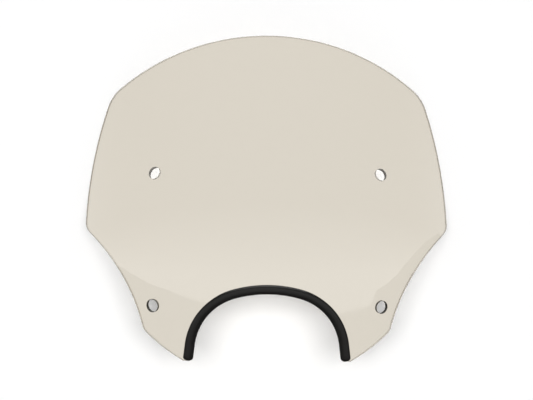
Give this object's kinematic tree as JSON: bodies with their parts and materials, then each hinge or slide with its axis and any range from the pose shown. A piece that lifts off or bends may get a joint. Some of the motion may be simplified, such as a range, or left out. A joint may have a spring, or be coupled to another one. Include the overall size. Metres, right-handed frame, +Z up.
{
  "type": "motorcycle windshield",
  "caption": "Curved, lightly tinted clear plastic motorcycle windshield with mounting holes and a rubber-trimmed headlamp arch.",
  "frame": {"origin": "middle of the headlamp arch at its foot, in the plane of the sheet's foremost line", "axes": "+X to the right as seen from the front, +Y to the rear of the motorbike, +Z up"},
  "size_m": [0.4144, 0.1451, 0.3632],
  "materials": {
    "tinted_plastic": "clear polished plastic with a light smoke tint",
    "trim_rubber": "satin black extruded rubber"
  },
  "bodies": {
    "root": {"windscreen": "tinted_plastic", "edge_trim": "trim_rubber"}
  },
  "joints": []
}
